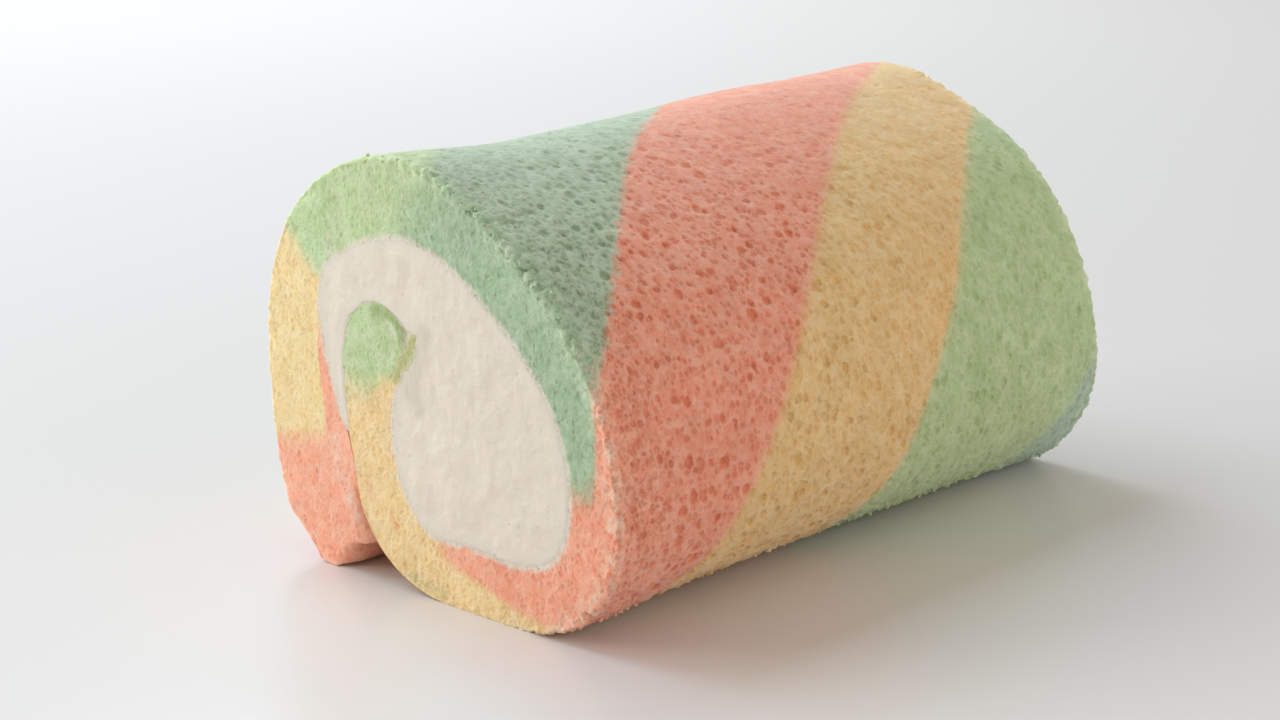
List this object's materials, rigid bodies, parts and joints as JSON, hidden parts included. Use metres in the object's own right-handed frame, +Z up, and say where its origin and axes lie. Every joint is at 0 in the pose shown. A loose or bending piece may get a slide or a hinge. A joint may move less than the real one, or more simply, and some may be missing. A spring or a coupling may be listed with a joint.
{
  "type": "swiss roll cake",
  "caption": "Half of a swiss roll cake: a striped sponge sheet rolled round a cream filling, cut square at both ends and lying on its seam.",
  "frame": {"origin": "under the middle of the roll, on the surface it lies on", "axes": "+Y along the roll, away from the cut face that shows its curl on the left; +X to the right of that face; +Z up"},
  "size_m": [0.0936, 0.1386, 0.08],
  "materials": {
    "sponge": "matt open crumb in pink, yellow, light green and mint stripes",
    "cream": "smooth soft whipped cream"
  },
  "bodies": {
    "root": {"sponge": "sponge", "cream": "cream"}
  },
  "joints": []
}
